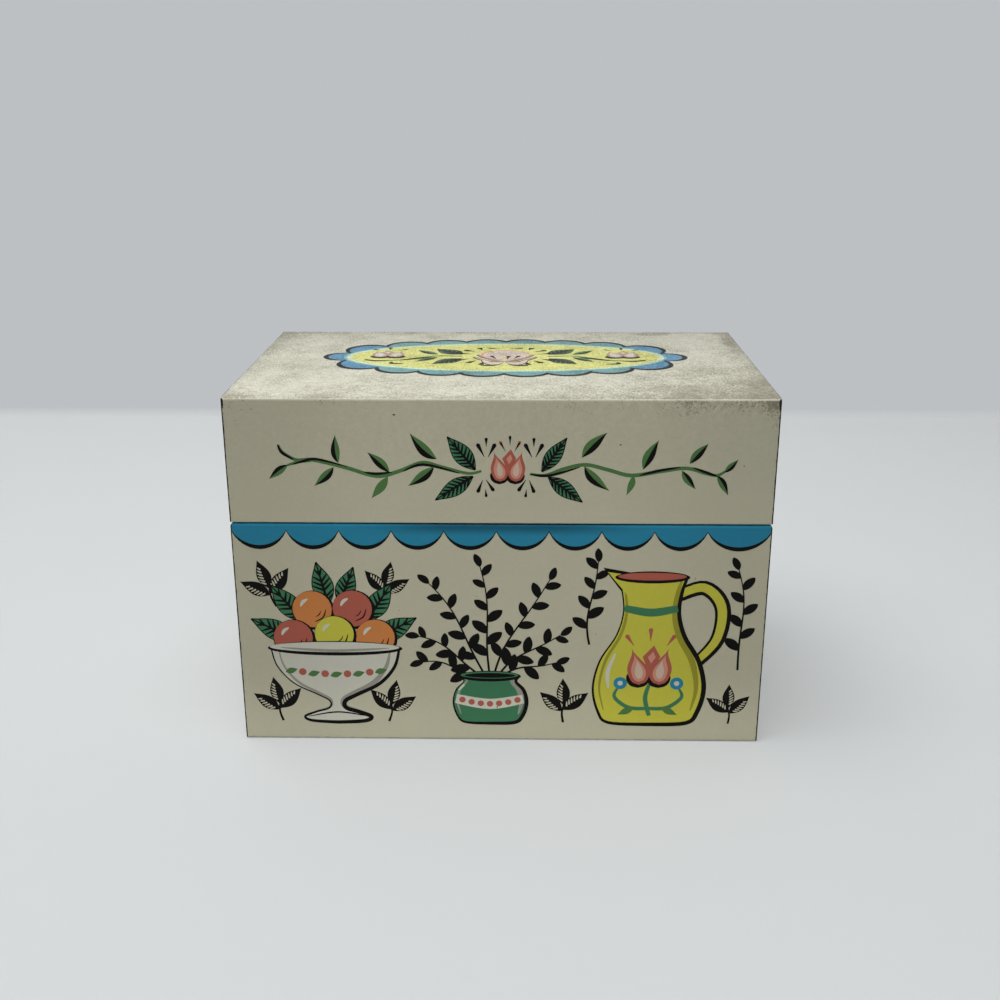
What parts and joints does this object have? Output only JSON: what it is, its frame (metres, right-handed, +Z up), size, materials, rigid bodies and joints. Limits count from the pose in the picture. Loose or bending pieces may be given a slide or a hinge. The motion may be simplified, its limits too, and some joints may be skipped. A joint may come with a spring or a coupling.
{
  "type": "recipe card box",
  "caption": "Upright folded tinplate box for filing cards, with a deep lid hinged along the back on a wire, and a decorated enamel print.",
  "frame": {"origin": "middle of the underside, on the surface that the box stands on", "axes": "+Z up, the front faces -Y, the hinge runs along X at the back; lid shut at rest"},
  "size_m": [0.135, 0.083, 0.093],
  "materials": {
    "printed_tinplate": "satin enamel print on tinplate, worn at the folds",
    "hinge_steel": "drawn wire, dulled"
  },
  "bodies": {
    "box": {"body_wrap": "printed_tinplate", "body_end_left": "printed_tinplate", "body_end_right": "printed_tinplate", "hinge_wire": "hinge_steel"},
    "lid": {"lid_wrap": "printed_tinplate", "lid_end_left": "printed_tinplate", "lid_end_right": "printed_tinplate"}
  },
  "joints": [
    {"name": "lid_hinge", "type": "hinge", "parent": "box", "child": "lid", "pos_m": [0, 0.04022, 0.06087], "axis": [-1, 0, 0], "range_deg": [0, 105]}
  ]
}
